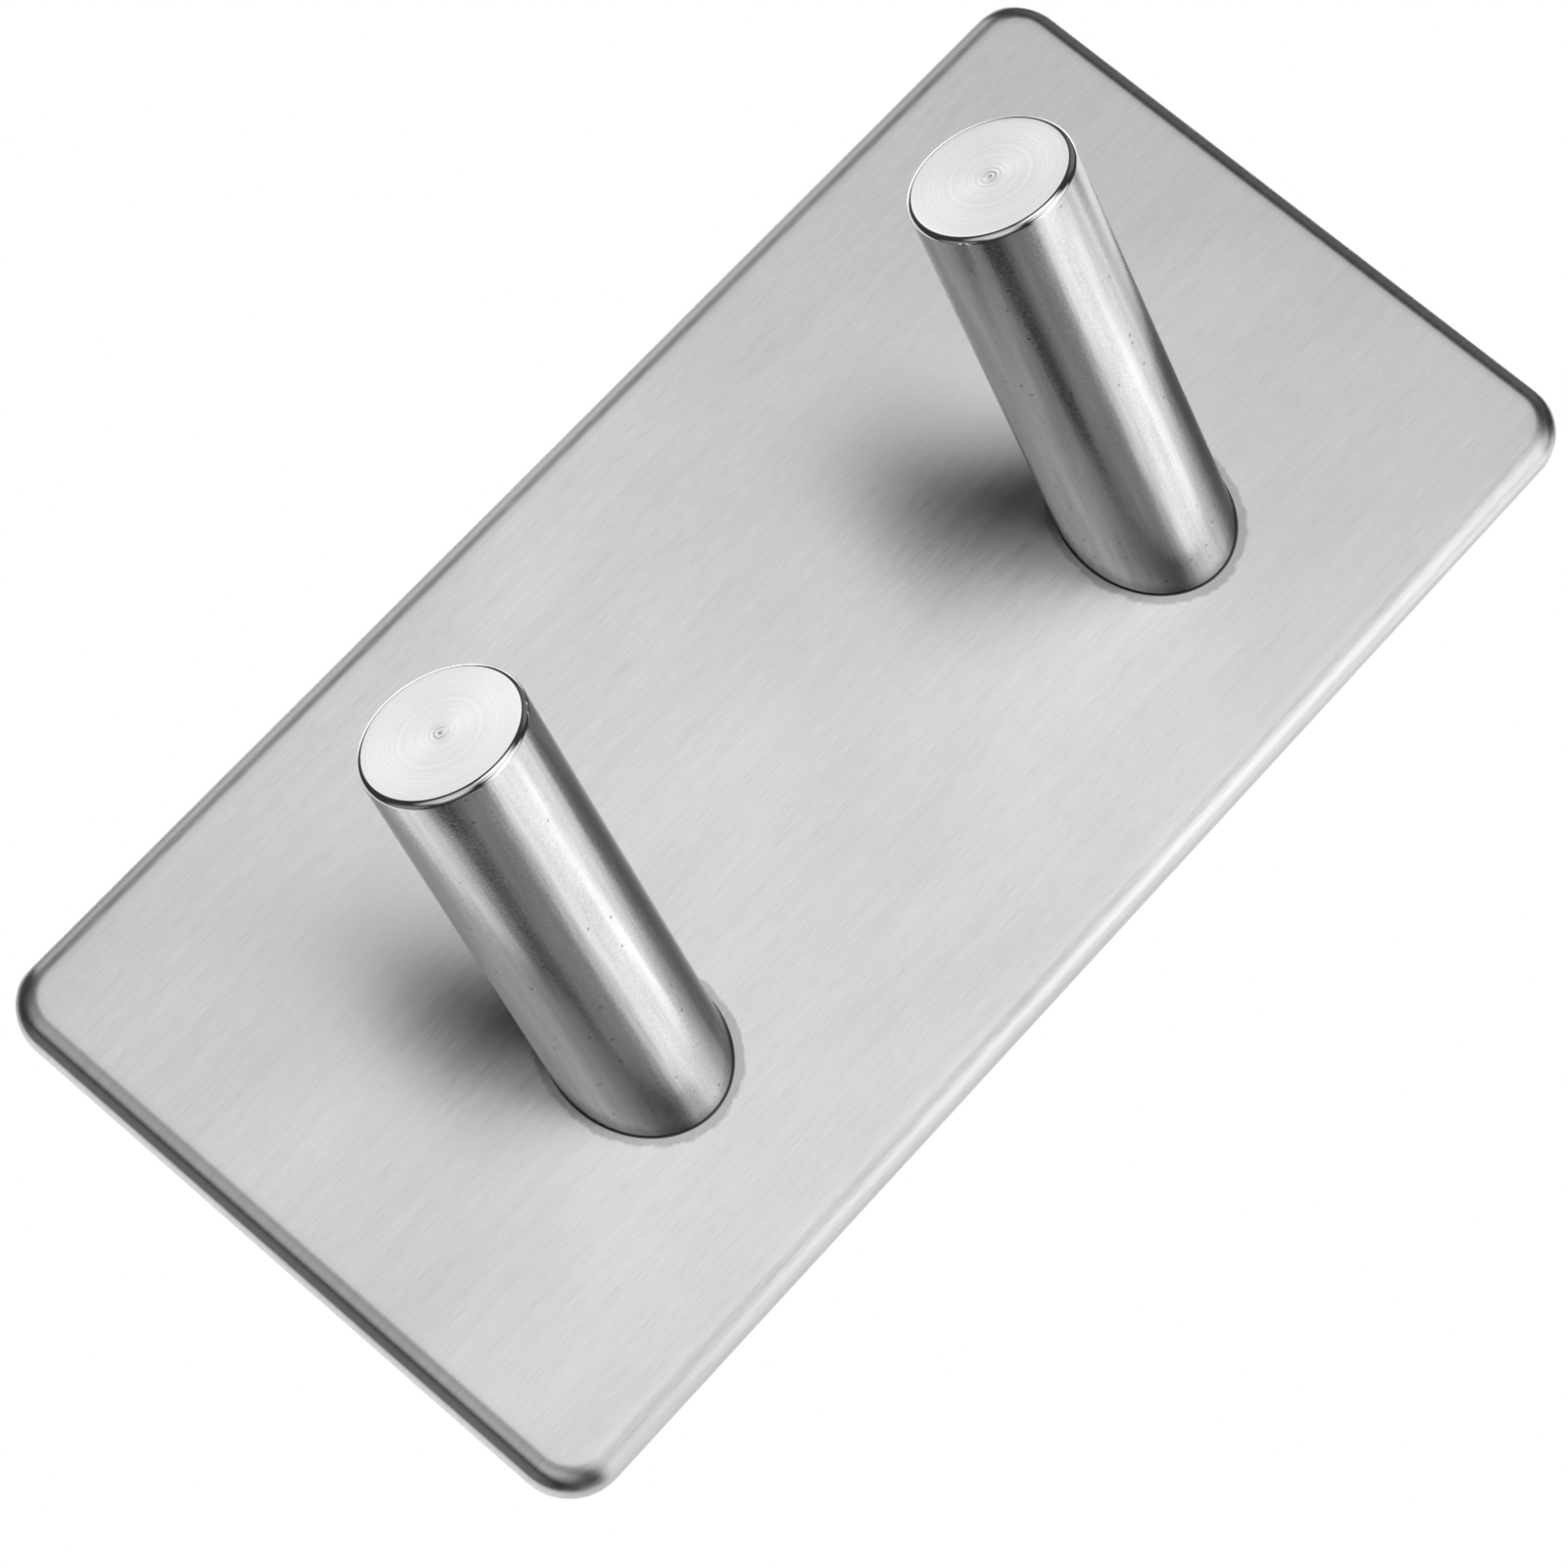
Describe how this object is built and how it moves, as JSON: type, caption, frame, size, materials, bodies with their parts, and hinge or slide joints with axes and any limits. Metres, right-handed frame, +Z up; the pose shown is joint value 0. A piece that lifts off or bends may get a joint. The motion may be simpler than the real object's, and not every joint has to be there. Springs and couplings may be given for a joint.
{
  "type": "wall hook rack",
  "caption": "Stick-on wall hook rack: a pressed stainless steel plate with round corners and solid round pegs that lean upwards, screwed on from behind, on a foam adhesive pad.",
  "frame": {"origin": "centre of the rearmost face, the one that goes against the wall", "axes": "+X to the right along the plate as seen from the room, +Y into the wall, +Z up; the pegs lean out along -Y and up"},
  "size_m": [0.09, 0.0292, 0.045],
  "materials": {
    "plate": "brushed lengthwise, edges rolled back and blended smooth",
    "peg": "satin drawn bar, turned end face, polished rim",
    "screw": "bright, cold formed",
    "foam": "matte closed-cell acrylic foam",
    "liner": "smooth silicone-coated paper"
  },
  "bodies": {
    "root": {"back_plate": "plate", "peg_left": "peg", "peg_right": "peg", "screw_left": "screw", "screw_right": "screw", "foam_pad": "foam", "release_liner": "liner"}
  },
  "joints": []
}
